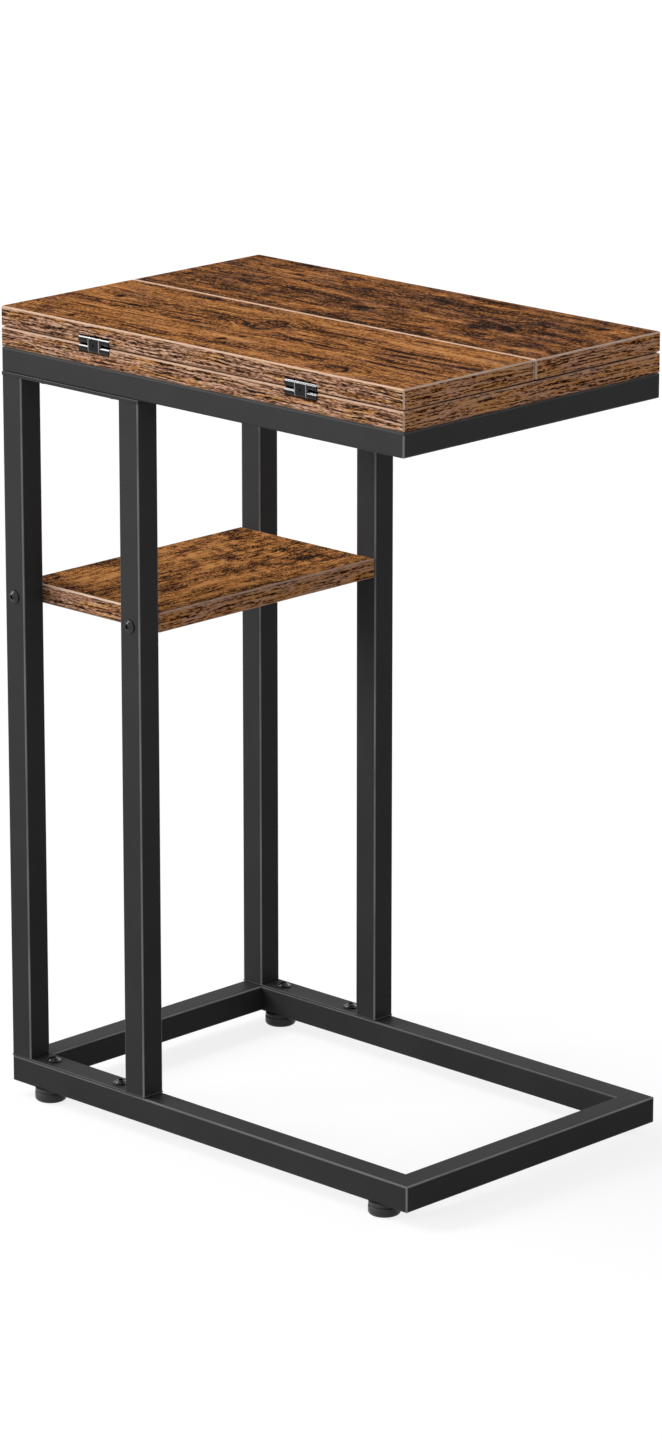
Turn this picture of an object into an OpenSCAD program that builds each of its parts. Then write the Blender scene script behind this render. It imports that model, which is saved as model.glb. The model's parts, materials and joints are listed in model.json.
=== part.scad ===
// C-shaped side table. A fixed board and two leaves lie on a welded steel frame;
// the leaves turn over outwards on two-pin flip hinges and double the width of
// the top. Two pairs of posts at the closed end of the C carry a shelf, and the
// base stands on four levelling feet.
// Front is -Y and the closed end is at -X. The origin is on the floor under the
// middle of the overall box. Millimetres.

/* [Table] */
// Height from the floor to the top of the closed leaves
table_h = 660; // [540:5:760]
// Length of the top along X
top_l = 440; // [360:5:560]
// Width of the closed top and of the frame along Y
top_w = 290; // [250:5:400]
// Length of the base along X
base_l = 446; // [400:2:580]
// Thickness of every board
board_t = 16; // [14:0.5:22]
// Gap between the fixed board and the closed leaves
leaf_gap = 1; // [0.8:0.1:2]
// Gap between the two closed leaves
seam_gap = 0.8; // [0.5:0.1:3]
// Thickness of the edge band on every board
edging_t = 1.5; // [1.3:0.1:2]
// Bevel along the edges of the edge band
edging_bevel = 1.2; // [1:0.1:1.2]

/* [Steel frame] */
// Side of the square tube of the base and the posts
tube = 22; // [20:0.5:30]
// Side of the square tube of the top frame
top_tube = 20; // [18:0.5:28]
// Wall of every tube
wall = 1.5; // [1:0.1:2]
// Outer corner radius of every tube
corner_r = 2; // [1:0.1:3]
// Length of a pair of posts along X, and of the shelf between them
pair_l = 155; // [130:1:200]
// Thickness of the straps on top of the posts
top_strap_t = 3; // [2:0.5:5]
// Thickness of the straps under the posts
foot_strap_t = 1.2; // [1:0.1:3]
// Bevel along the edges of the straps
strap_bevel = 0.3; // [0.1:0.05:0.4]
// Distance from a post to the centre of the frame bolt beside it
bolt_inset = 16; // [12:0.5:24]

/* [Shelf] */
// Height of the shelf's top face above the floor
shelf_top = 432; // [260:2:480]
// Play between the shelf's ends and the posts
shelf_play = 0.2; // [0.1:0.05:0.4]
// Radius of the threaded inserts in the shelf
insert_r = 5; // [4.5:0.1:6]
// Length of the threaded inserts
insert_l = 18; // [14:1:24]
// Play round a threaded insert
insert_play = 0.05; // [0.02:0.01:0.1]

/* [Bolts and screws] */
// Shank radius of the bolts
bolt_r = 3; // [2.5:0.1:3.5]
// Play round a bolt in a drilled hole
bolt_play = 0.3; // [0.15:0.05:0.5]
// Play round a bolt or stud in its thread
thread_play = 0.06; // [0.04:0.01:0.09]
// Flange radius of the frame bolts
frame_flange_r = 6; // [5.5:0.1:7]
// Flange radius of the shelf bolts
shelf_flange_r = 5.4; // [5:0.1:7]
// Thickness of a bolt's flange
flange_t = 1.1; // [0.8:0.1:1.6]
// Height of a bolt's domed head above its flange
dome_h = 2.4; // [2:0.1:3]
// Width across the flats of the weld nuts for the bolts
nut_af = 10; // [9:0.5:12]
// Height of the weld nuts for the bolts
nut_h = 5; // [4:0.5:7]
// Shank radius of the screws that hold the fixed board
board_screw_r = 2; // [1.5:0.1:2.5]
// Head radius of the screws that hold the fixed board
board_screw_head_r = 3.6; // [3.2:0.1:4.2]
// Head height of the screws that hold the fixed board
board_screw_head_h = 2.4; // [2:0.1:3]
// Wood left above the screws that hold the fixed board
board_screw_cover = 5; // [4.5:0.5:7]

/* [Flip hinges] */
// Distance between the two hinges of one leaf
hinge_spacing = 226; // [160:2:280]
// Width of a hinge along the edge of the board
hinge_w = 34; // [30:1:40]
// Length of a hinge half from the edge of the board inwards
hinge_l = 30; // [27:1:40]
// Depth of a hinge half in its board
cup_t = 8; // [7:0.5:9]
// Distance from the edge of the board to the deep part of a hinge half
cup_setback = 5; // [4.5:0.5:6]
// Depth of the pins below the face of their board
pin_depth = 3; // [2.8:0.1:3.4]
// Gap between the edges of the boards with the leaf turned out
open_gap = 2; // [1.6:0.1:3]
// Width of the link between the two pins
link_w = 12.6; // [10:0.2:15]
// Play between the link and the barrels beside it
link_play = 0.35; // [0.3:0.05:0.5]
// Half the gap between the two barrels of a closed hinge
barrel_play = 0.2; // [0.15:0.05:0.3]
// Radius of the hinge pins
pin_r = 1.5; // [1.2:0.1:1.7]
// Play round a hinge pin
pin_play = 0.05; // [0.03:0.01:0.08]
// Distance that the pins end inside the barrels' outer faces
pin_recess = 0.4; // [0.2:0.1:0.8]
// Play between a hinge half and its pocket
pocket_play = 0.2; // [0.1:0.05:0.4]
// Shank radius of the hinge screws
hinge_screw_r = 1.75; // [1.5:0.05:2]
// Head radius of the hinge screws
hinge_screw_head_r = 3.4; // [3:0.1:3.8]
// Distance of the hinge screws from the middle of the hinge
hinge_screw_x = 9; // [7.5:0.5:10]
// Distance of the hinge screws from the edge of the board
hinge_screw_y = 16.5; // [14:0.5:18]

/* [Levelling feet] */
// Radius of a foot pad
pad_r = 13; // [11:0.5:18]
// Height of the pads, which is the clearance under the base
pad_h = 11; // [9:0.5:16]
// Chamfer round the top of a pad
pad_chamfer = 1.6; // [0.4:0.1:2]
// Distance from the end of the base to the centre of a foot
foot_inset = 34; // [30:1:60]
// Shank radius of a foot's stud
stud_r = 4; // [3.5:0.1:5]
// Radius of the stud's captive head in the pad
stud_head_r = 6.5; // [6:0.1:8]
// Height of the stud's captive head
stud_head_h = 3; // [2:0.5:4]
// Thickness of the pad under the stud
pad_floor = 3; // [2:0.5:4]
// Width across the flats of the weld nuts for the feet
foot_nut_af = 13; // [12.5:0.5:15]
// Height of the weld nuts for the feet
foot_nut_h = 6.5; // [5:0.5:8]
// Space left between a stud and the frame bolt above it
stud_headroom = 1.5; // [1:0.5:3]

/* [Hidden] */
$fn = 48;
eps = 0.01;
over = 20;
least_r = 0.3;

FRONT = -1;
BACK = 1;
LEFT = -1;
RIGHT = 1;

x_left = -base_l / 2;
x_right = base_l / 2;
top_x = x_left + top_l / 2;
pair_x = x_left + pair_l / 2;
y_edge = top_w / 2;
tube_y = y_edge - tube / 2;
top_tube_y = y_edge - top_tube / 2;
top_tube_x = (top_l - top_tube) / 2;

// Heights, from the floor up and from the top down
z_base = pad_h;
z_base_top = z_base + tube;
z_post = z_base_top + foot_strap_t;
z_leaf = table_h - board_t;
z_board_top = z_leaf - leaf_gap;
z_board = z_board_top - board_t;
z_top_rail = z_board - top_tube;
z_strap = z_top_rail - top_strap_t;
z_shelf = shelf_top - board_t;

leaf_w = (top_w - seam_gap) / 2;
shelf_w = top_w - 2 * tube - 2 * shelf_play;

// Hinge geometry: the link is as long closed, across the gap, as it is open
link_l = 2 * pin_depth + leaf_gap;
pin_inset = (link_l - open_gap) / 2;
barrel_r = link_l / 2 - barrel_play;
swing_r = barrel_r + link_play;
notch_t = pin_depth + swing_r + pocket_play;
barrel_x = link_w / 2 + link_play;
barrel_w = hinge_w / 2 - barrel_x;
dimple_r = 1.1;
dimple_t = 0.6;

bolt_hole_r = bolt_r + bolt_play;
thread_r = bolt_r + thread_play;
bolt_xs = [x_left + tube + bolt_inset, x_left + pair_l - tube - bolt_inset];
frame_bolt_spare = 2;
post_xs = [x_left + tube / 2, x_left + pair_l - tube / 2];
shelf_bolt_z = z_shelf + board_t / 2;
shelf_bolt_end = 3;
flange_rim = 1.1;
socket_af = 4;
socket_t = 1.8;

board_screw_end = 30;
board_screw_xs = [top_x, top_x + top_l / 2 - board_screw_end];
board_screw_hole_r = board_screw_r + thread_play;
access_play = 1;
access_r = board_screw_head_r + access_play;
hinge_screw_play = 0.05;
hinge_screw_end = 2;
hinge_xs = [top_x - hinge_spacing / 2, top_x + hinge_spacing / 2];

foot_xs = [x_left + foot_inset, x_right - foot_inset];
stud_hole_r = stud_r + thread_play;
stud_top = z_base_top - wall - nut_h - frame_bolt_spare - stud_headroom;

steel = [0.13, 0.13, 0.135];
decor = [0.55, 0.33, 0.2];
band = [0.62, 0.42, 0.31];
gloss = [0.06, 0.06, 0.065];
zinc = [0.62, 0.63, 0.65];
plastic = [0.09, 0.09, 0.09];

// A rectangle about the origin with its corners cut off by b
function cut_rect(l, w, b) = [
    [-l / 2 + b, -w / 2], [l / 2 - b, -w / 2], [l / 2, -w / 2 + b], [l / 2, w / 2 - b],
    [l / 2 - b, w / 2], [-l / 2 + b, w / 2], [-l / 2, w / 2 - b], [-l / 2, -w / 2 + b]
];

// A block standing on z = 0, with a bevel b along all its edges
module bevelled_block(l, w, t, b) {
    intersection() {
        linear_extrude(t) polygon(cut_rect(l, w, b));
        translate([-l / 2, 0, t / 2]) rotate([90, 0, 90]) linear_extrude(l) polygon(cut_rect(w, t, b));
        translate([0, w / 2, t / 2]) rotate([90, 0, 0]) linear_extrude(w) polygon(cut_rect(l, t, b));
    }
}

// The board inside its edge band
module board_core(l, w) {
    translate([-l / 2 + edging_t, -w / 2 + edging_t, 0])
        cube([l - 2 * edging_t, w - 2 * edging_t, board_t]);
}

// The band round a board
module board_band(l, w) {
    difference() {
        bevelled_block(l, w, board_t, edging_bevel);
        translate([-l / 2 + edging_t, -w / 2 + edging_t, -over])
            cube([l - 2 * edging_t, w - 2 * edging_t, board_t + 2 * over]);
    }
}

// A rectangle about the origin with corners of radius r
module rounded_rect(l, w, r) {
    square([l - 2 * r, w], center = true);
    square([l, w - 2 * r], center = true);
    for (x = [-1, 1], y = [-1, 1])
        translate([x * (l / 2 - r), y * (w / 2 - r)]) circle(r);
}

module tube_section(s) {
    inner_r = max(corner_r - wall, least_r);
    difference() {
        rounded_rect(s, s, corner_r);
        rounded_rect(s - 2 * wall, s - 2 * wall, inner_r);
    }
}

// A tube along X with its outer side on y = 0 and both ends cut at 45 degrees
module mitred_tube(l, s) {
    intersection() {
        translate([-l / 2, s / 2, s / 2]) rotate([90, 0, 90]) linear_extrude(l) tube_section(s);
        translate([0, 0, -over]) linear_extrude(s + 2 * over)
            polygon([[-l / 2, 0], [l / 2, 0], [l / 2 - s, s], [-l / 2 + s, s]]);
    }
}

// Rounds the upright outer corners of a frame l long whose middle is at x
module round_corners(x, l) {
    intersection() {
        children();
        translate([x, 0, -over]) linear_extrude(table_h + 2 * over) rounded_rect(l, top_w, corner_r);
    }
}

// Puts a piece made for the front edge, inwards +Y, at x along the front or the back edge
module at_edge(side, x, z) {
    translate([x, side * y_edge, z]) rotate(side == FRONT ? 0 : 180) children();
}

// A hole up or down through one wall, centred on z
module wall_hole(x, y, z, r) {
    translate([x, y, z - wall - 1]) cylinder(h = 2 * wall + 2, r = r);
}

// A flanged button-head bolt: head above z = 0, shank below it
module button_bolt(flange_r, length) {
    dome_r = flange_r - flange_rim;
    ball_r = (dome_r * dome_r + dome_h * dome_h) / (2 * dome_h);
    difference() {
        union() {
            translate([0, 0, -length]) cylinder(h = length + eps, r = bolt_r);
            cylinder(h = flange_t, r = flange_r);
            intersection() {
                translate([0, 0, flange_t + dome_h - ball_r]) sphere(ball_r);
                cylinder(h = flange_t + dome_h, r = dome_r);
            }
        }
        translate([0, 0, flange_t + dome_h - socket_t])
            cylinder(h = over, r = socket_af / sqrt(3), $fn = 6);
    }
}

// A hexagonal nut standing on z = 0
module weld_nut(af, h, bore_r) {
    difference() {
        cylinder(h = h, r = af / sqrt(3), $fn = 6);
        translate([0, 0, -1]) cylinder(h = h + 2, r = bore_r);
    }
}

/* Base */

module base_long_rail(side) {
    color(steel) difference() {
        round_corners(0, base_l) at_edge(side, 0, z_base) mitred_tube(base_l, tube);
        for (x = bolt_xs) wall_hole(x, side * tube_y, z_base_top, bolt_hole_r);
        for (x = foot_xs) wall_hole(x, side * tube_y, z_base, stud_r + bolt_play);
    }
}

module base_short_rail(end) {
    color(steel) round_corners(0, base_l)
        translate([end * base_l / 2, 0, z_base]) rotate(end == LEFT ? -90 : 90)
            mitred_tube(top_w, tube);
}

module base_bolts() {
    length = foot_strap_t + wall + nut_h + frame_bolt_spare;
    color(gloss) for (x = bolt_xs, side = [FRONT, BACK])
        translate([x, side * tube_y, z_post]) button_bolt(frame_flange_r, length);
}

module base_nuts() {
    color(zinc) for (x = bolt_xs, side = [FRONT, BACK])
        translate([x, side * tube_y, z_base_top - wall - nut_h]) weld_nut(nut_af, nut_h, thread_r);
}

/* Posts and straps */

module post(side, x) {
    color(steel) difference() {
        translate([x, side * tube_y, z_post]) linear_extrude(z_strap - z_post) tube_section(tube);
        translate([x, side * tube_y, shelf_bolt_z]) rotate([90, 0, 0])
            cylinder(h = tube + 2, r = bolt_hole_r, center = true);
    }
}

// A strap under or over a pair of posts, its lower face on z
module strap(side, z, t) {
    color(steel) difference() {
        translate([pair_x, side * tube_y, z]) bevelled_block(pair_l, tube, t, strap_bevel);
        for (x = bolt_xs) translate([x, side * tube_y, z - 1]) cylinder(h = t + 2, r = bolt_hole_r);
    }
}

/* Top frame */

module top_long_rail(side) {
    color(steel) difference() {
        round_corners(top_x, top_l) at_edge(side, top_x, z_top_rail) mitred_tube(top_l, top_tube);
        for (x = bolt_xs) wall_hole(x, side * tube_y, z_top_rail, bolt_hole_r);
        for (x = board_screw_xs) {
            wall_hole(x, side * top_tube_y, z_board, board_screw_hole_r);
            wall_hole(x, side * top_tube_y, z_top_rail, access_r);
        }
    }
}

module top_short_rail(end) {
    mid_x = top_x + end * top_tube_x;
    color(steel) difference() {
        round_corners(top_x, top_l)
            translate([top_x + end * top_l / 2, 0, z_top_rail]) rotate(end == LEFT ? -90 : 90)
                mitred_tube(top_w, top_tube);
        wall_hole(mid_x, 0, z_board, board_screw_hole_r);
        wall_hole(mid_x, 0, z_top_rail, access_r);
    }
}

module top_bolts() {
    length = top_strap_t + wall + nut_h + frame_bolt_spare;
    color(gloss) for (x = bolt_xs, side = [FRONT, BACK])
        translate([x, side * tube_y, z_strap]) rotate([180, 0, 0])
            button_bolt(frame_flange_r, length);
}

module top_nuts() {
    color(zinc) for (x = bolt_xs, side = [FRONT, BACK])
        translate([x, side * tube_y, z_top_rail + wall]) weld_nut(nut_af, nut_h, thread_r);
}

// Where the board screws stand: along the long rails and in the middle of the short ones
function board_screw_places() = concat(
    [for (x = board_screw_xs, side = [FRONT, BACK]) [x, side * top_tube_y]],
    [for (end = [LEFT, RIGHT]) [top_x + end * top_tube_x, 0]]
);

module top_board_screws() {
    seat = z_board - wall;
    color(zinc) for (p = board_screw_places()) translate([p[0], p[1], seat]) {
        translate([0, 0, -eps]) cylinder(h = eps + wall + board_t - board_screw_cover, r = board_screw_r);
        translate([0, 0, -board_screw_head_h]) cylinder(h = board_screw_head_h, r = board_screw_head_r);
    }
}

/* Shelf */

module shelf_insert_holes() {
    for (x = post_xs) translate([x, 0, shelf_bolt_z]) rotate([90, 0, 0])
        difference() {
            cylinder(h = shelf_w + 2, r = insert_r + insert_play, center = true);
            cylinder(h = shelf_w - 2 * insert_l, r = insert_r + 1, center = true);
        }
}

module shelf_board() {
    color(decor) difference() {
        translate([pair_x, 0, z_shelf]) board_core(pair_l, shelf_w);
        shelf_insert_holes();
    }
}

module shelf_edging() {
    color(band) difference() {
        translate([pair_x, 0, z_shelf]) board_band(pair_l, shelf_w);
        shelf_insert_holes();
    }
}

module shelf_inserts() {
    color(zinc) for (x = post_xs, side = [FRONT, BACK])
        translate([x, side * shelf_w / 2, shelf_bolt_z]) rotate([side * 90, 0, 0])
            difference() {
                cylinder(h = insert_l, r = insert_r);
                translate([0, 0, -1]) cylinder(h = insert_l, r = thread_r);
            }
}

module shelf_bolts() {
    length = tube + shelf_play + insert_l - shelf_bolt_end;
    color(gloss) for (x = post_xs, side = [FRONT, BACK])
        translate([x, side * y_edge, shelf_bolt_z]) rotate([-side * 90, 0, 0])
            button_bolt(shelf_flange_r, length);
}

/* Hinge halves. Each is made at the edge of its board: inwards is +Y, the board's
   face is z = 0 and the board lies below it. */

// Plan of the deep part of a hinge half: square to the edge, round at its inner end
module cup_outline(play) {
    r = hinge_w / 2;
    intersection() {
        union() {
            translate([-r - play, 0]) square([hinge_w + 2 * play, hinge_l - r]);
            translate([0, hinge_l - r]) circle(r + play);
        }
        translate([-hinge_w, cup_setback - play]) square([2 * hinge_w, hinge_l]);
    }
}

// Space that the link turns through, upright to flat
module link_space() {
    w = 2 * barrel_x;
    translate([-w / 2, pin_inset, -pin_depth]) rotate([0, 90, 0]) cylinder(h = w, r = swing_r);
    translate([-w / 2, -over, -pin_depth - swing_r]) cube([w, over + pin_inset, over]);
    translate([-w / 2, -over, -pin_depth]) cube([w, over + pin_inset + swing_r, over]);
}

module hinge_screw_places() {
    for (x = [-hinge_screw_x, hinge_screw_x]) translate([x, hinge_screw_y, 0]) children();
}

module countersunk_screw(play) {
    head_h = hinge_screw_head_r - hinge_screw_r;
    shank_h = board_t - hinge_screw_end - head_h;
    translate([0, 0, -head_h]) cylinder(h = head_h, r1 = hinge_screw_r + play, r2 = hinge_screw_head_r + play);
    translate([0, 0, -head_h - shank_h]) cylinder(h = shank_h + eps, r = hinge_screw_r + play);
}

module hinge_cup() {
    difference() {
        union() {
            translate([0, 0, -cup_t]) linear_extrude(cup_t) cup_outline(0);
            for (side = [LEFT, RIGHT]) translate([side * (barrel_x + barrel_w / 2) - barrel_w / 2, 0, 0]) {
                translate([0, pin_inset, -pin_depth]) rotate([0, 90, 0]) cylinder(h = barrel_w, r = barrel_r);
                translate([0, pin_inset, -pin_depth - barrel_r])
                    cube([barrel_w, cup_setback - pin_inset + eps, pin_depth + barrel_r]);
            }
        }
        link_space();
        translate([-hinge_w / 2 - 1, pin_inset, -pin_depth]) rotate([0, 90, 0])
            cylinder(h = hinge_w + 2, r = pin_r + pin_play);
        hinge_screw_places() translate([0, 0, eps]) countersunk_screw(hinge_screw_play);
    }
}

// What is cut out of a board for one hinge half
module hinge_pocket() {
    translate([0, 0, -cup_t]) linear_extrude(cup_t + over) cup_outline(pocket_play);
    translate([-hinge_w / 2 - pocket_play, -over, -notch_t])
        cube([hinge_w + 2 * pocket_play, over + cup_setback, notch_t + over]);
    hinge_screw_places() countersunk_screw(hinge_screw_play);
}

module hinge_pin() {
    translate([-hinge_w / 2 + pin_recess, pin_inset, -pin_depth]) rotate([0, 90, 0])
        cylinder(h = hinge_w - 2 * pin_recess, r = pin_r);
}

// The link of a closed hinge, from the pin below the gap to the pin above it
module hinge_link() {
    difference() {
        union() {
            for (z = [-pin_depth, leaf_gap + pin_depth])
                translate([-link_w / 2, pin_inset, z]) rotate([0, 90, 0]) cylinder(h = link_w, r = barrel_r);
            translate([-link_w / 2, pin_inset - barrel_r, -pin_depth]) cube([link_w, 2 * barrel_r, link_l]);
        }
        for (z = [-pin_depth, leaf_gap + pin_depth])
            translate([-link_w, pin_inset, z]) rotate([0, 90, 0]) cylinder(h = 2 * link_w, r = pin_r + pin_play);
        translate([0, pin_inset - barrel_r + dimple_t, leaf_gap / 2]) rotate([90, 0, 0])
            cylinder(h = over, r = dimple_r);
    }
}

// The places of the two hinges along one edge, in the fixed board
module at_fixed_hinges(side) {
    for (x = hinge_xs) at_edge(side, x, z_board_top) children();
}

// The same places in the closed leaf, which faces down
module at_leaf_hinges(side) {
    for (x = hinge_xs) at_edge(side, x, z_leaf) mirror([0, 0, 1]) children();
}

/* Fixed board */

module fixed_board_cuts() {
    at_fixed_hinges(FRONT) hinge_pocket();
    at_fixed_hinges(BACK) hinge_pocket();
    for (p = board_screw_places()) translate([p[0], p[1], z_board - 1])
        cylinder(h = 1 + board_t - board_screw_cover, r = board_screw_hole_r);
}

module fixed_top_board() {
    color(decor) difference() {
        translate([top_x, 0, z_board]) board_core(top_l, top_w);
        fixed_board_cuts();
    }
}

module fixed_top_edging() {
    color(band) difference() {
        translate([top_x, 0, z_board]) board_band(top_l, top_w);
        fixed_board_cuts();
    }
}

module hinge_cups_fixed(side) { color(gloss) at_fixed_hinges(side) hinge_cup(); }

module hinge_pins_fixed(side) { color(zinc) at_fixed_hinges(side) hinge_pin(); }

module hinge_screws_fixed() {
    color(zinc) for (side = [FRONT, BACK])
        at_fixed_hinges(side) hinge_screw_places() countersunk_screw(0);
}

/* Links and leaves */

module hinge_links(side) { color(gloss) at_fixed_hinges(side) hinge_link(); }

module leaf_board(side) {
    color(decor) difference() {
        translate([top_x, side * (y_edge - leaf_w / 2), z_leaf]) board_core(top_l, leaf_w);
        at_leaf_hinges(side) hinge_pocket();
    }
}

module leaf_edging(side) {
    color(band) difference() {
        translate([top_x, side * (y_edge - leaf_w / 2), z_leaf]) board_band(top_l, leaf_w);
        at_leaf_hinges(side) hinge_pocket();
    }
}

module hinge_cups_leaf(side) { color(gloss) at_leaf_hinges(side) hinge_cup(); }

module hinge_pins_leaf(side) { color(zinc) at_leaf_hinges(side) hinge_pin(); }

module hinge_screws_leaf(side) { color(zinc) at_leaf_hinges(side) hinge_screw_places() countersunk_screw(0); }

/* Feet */

module foot_nuts() {
    color(zinc) for (x = foot_xs, side = [FRONT, BACK])
        translate([x, side * tube_y, z_base + wall]) weld_nut(foot_nut_af, foot_nut_h, stud_hole_r);
}

module foot_pad(x, side) {
    color(plastic) translate([x, side * tube_y, 0]) difference() {
        rotate_extrude() polygon([
            [0, 0], [pad_r, 0], [pad_r, pad_h - pad_chamfer], [pad_r - pad_chamfer, pad_h], [0, pad_h]
        ]);
        translate([0, 0, pad_floor]) cylinder(h = stud_head_h + 2 * thread_play, r = stud_head_r + thread_play);
        translate([0, 0, pad_floor + eps]) cylinder(h = pad_h, r = stud_hole_r);
    }
}

module foot_stud(x, side) {
    color(zinc) translate([x, side * tube_y, pad_floor + thread_play]) {
        cylinder(h = stud_head_h, r = stud_head_r);
        cylinder(h = stud_top - pad_floor - thread_play, r = stud_r);
    }
}

base_long_rail(FRONT);  // base_rail_front
base_long_rail(BACK);  // base_rail_back
base_short_rail(LEFT);  // base_rail_left
base_short_rail(RIGHT);  // base_rail_right
post(FRONT, post_xs[0]);  // post_front_left
post(FRONT, post_xs[1]);  // post_front_right
post(BACK, post_xs[0]);  // post_back_left
post(BACK, post_xs[1]);  // post_back_right
strap(FRONT, z_strap, top_strap_t);  // top_strap_front
strap(BACK, z_strap, top_strap_t);  // top_strap_back
strap(FRONT, z_base_top, foot_strap_t);  // foot_strap_front
strap(BACK, z_base_top, foot_strap_t);  // foot_strap_back
top_long_rail(FRONT);  // top_rail_front
top_long_rail(BACK);  // top_rail_back
top_short_rail(LEFT);  // top_rail_left
top_short_rail(RIGHT);  // top_rail_right
base_bolts();
base_nuts();
top_bolts();
top_nuts();
shelf_board();
shelf_edging();
shelf_bolts();
shelf_inserts();
fixed_top_board();
fixed_top_edging();
top_board_screws();
hinge_cups_fixed(FRONT);  // hinge_cups_fixed_front
hinge_cups_fixed(BACK);  // hinge_cups_fixed_back
hinge_pins_fixed(FRONT);  // hinge_pins_fixed_front
hinge_pins_fixed(BACK);  // hinge_pins_fixed_back
hinge_screws_fixed();
hinge_links(FRONT);  // hinge_links_front
hinge_links(BACK);  // hinge_links_back
leaf_board(FRONT);  // leaf_board_front
leaf_edging(FRONT);  // leaf_edging_front
hinge_cups_leaf(FRONT);  // hinge_cups_leaf_front
hinge_pins_leaf(FRONT);  // hinge_pins_leaf_front
hinge_screws_leaf(FRONT);  // hinge_screws_leaf_front
leaf_board(BACK);  // leaf_board_back
leaf_edging(BACK);  // leaf_edging_back
hinge_cups_leaf(BACK);  // hinge_cups_leaf_back
hinge_pins_leaf(BACK);  // hinge_pins_leaf_back
hinge_screws_leaf(BACK);  // hinge_screws_leaf_back
foot_nuts();
foot_pad(foot_xs[0], FRONT);  // foot_pad_front_left
foot_pad(foot_xs[1], FRONT);  // foot_pad_front_right
foot_pad(foot_xs[0], BACK);  // foot_pad_back_left
foot_pad(foot_xs[1], BACK);  // foot_pad_back_right
foot_stud(foot_xs[0], FRONT);  // foot_stud_front_left
foot_stud(foot_xs[1], FRONT);  // foot_stud_front_right
foot_stud(foot_xs[0], BACK);  // foot_stud_back_left
foot_stud(foot_xs[1], BACK);  // foot_stud_back_right
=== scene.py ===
"""Looks of the C-shaped side table: printed rustic boards on a powder-coated steel frame."""

import json
import math

import bpy
import numpy as np
from mathutils import Matrix, Vector


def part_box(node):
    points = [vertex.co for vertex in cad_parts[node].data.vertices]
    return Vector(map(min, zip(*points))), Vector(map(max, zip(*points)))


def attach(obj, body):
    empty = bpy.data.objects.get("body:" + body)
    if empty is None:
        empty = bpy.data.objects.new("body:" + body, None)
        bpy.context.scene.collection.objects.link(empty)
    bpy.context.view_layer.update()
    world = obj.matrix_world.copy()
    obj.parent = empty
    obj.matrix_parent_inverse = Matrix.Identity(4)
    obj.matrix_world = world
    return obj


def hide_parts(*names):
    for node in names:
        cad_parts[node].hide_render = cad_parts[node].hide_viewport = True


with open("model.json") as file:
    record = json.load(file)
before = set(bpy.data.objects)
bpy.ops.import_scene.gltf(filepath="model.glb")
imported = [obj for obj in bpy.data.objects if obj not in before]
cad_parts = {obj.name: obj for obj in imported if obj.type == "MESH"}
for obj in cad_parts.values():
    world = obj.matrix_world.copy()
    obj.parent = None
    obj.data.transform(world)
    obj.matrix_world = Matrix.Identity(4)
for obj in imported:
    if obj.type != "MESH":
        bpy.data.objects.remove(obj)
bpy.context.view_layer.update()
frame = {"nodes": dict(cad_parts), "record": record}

MM = 0.001

# Half the width of a hinge link, in millimetres
LINK_HALF = 6.3

# The pocket in a levelling pad that holds the stud and its head, in millimetres
STUD_HOLE, POCKET_RADIUS = 4.06, 6.56
POCKET_LOW, POCKET_HIGH = 3.0, 6.12

# Outside of a levelling pad, in millimetres: the foot's round edge, the rim above it, the groove
# that parts it from the collar, and how far each lies below the pad's top
FOOT_ROUND, RIM_ROUND, COLLAR_ROUND = 3.0, 0.6, 0.4
GROOVE_DEPTH, COLLAR_SETBACK = 0.9, 0.3
RIM_DROP, GROOVE_DROP, COLLAR_DROP, COLLAR_TOP_DROP = 3.8, (3.1, 2.8), 2.4, 0.5

# Distance between the growth lines on a board and between the ridges on a band, in millimetres
GROWTH_PITCH = 9.5
RIDGE_PITCH = 3.1

# Where the pale ends of the two leaves' own bands start to fade and are gone, from the seam
SEAM_PALE, SEAM_CLEAR = 1.7, 2.5

# How deep below a board's face a printed oval reaches, in millimetres
OVAL_DEPTH = 8.0

# Places on the table, in metres: the closed top and the shelf
TOP_LOW, TOP_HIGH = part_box("fixed_top_edging")
LEAF_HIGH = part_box("leaf_board_front")[1].z
SHELF_LOW, SHELF_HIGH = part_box("shelf_edging")


def srgb(red, green, blue):
    """A colour in 8-bit screen values, as the linear RGBA that a shader takes."""
    screen = np.array([red, green, blue]) / 255
    linear = np.where(screen <= 0.04045, screen / 12.92, ((screen + 0.055) / 1.055) ** 2.4)
    return (*linear.tolist(), 1.0)


WHITE = srgb(255, 255, 255)


class Wire:
    """An output socket. The arithmetic signs on it add Math nodes."""

    def __init__(self, finish, socket):
        self.finish = finish
        self.socket = socket

    def math(self, operation, *others):
        return self.finish.math(operation, self, *others)

    def __add__(self, other):
        return self.math("ADD", other)

    __radd__ = __add__

    def __sub__(self, other):
        return self.math("SUBTRACT", other)

    def __rsub__(self, other):
        return self.finish.math("SUBTRACT", other, self)

    def __mul__(self, other):
        return self.math("MULTIPLY", other)

    __rmul__ = __mul__


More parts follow.
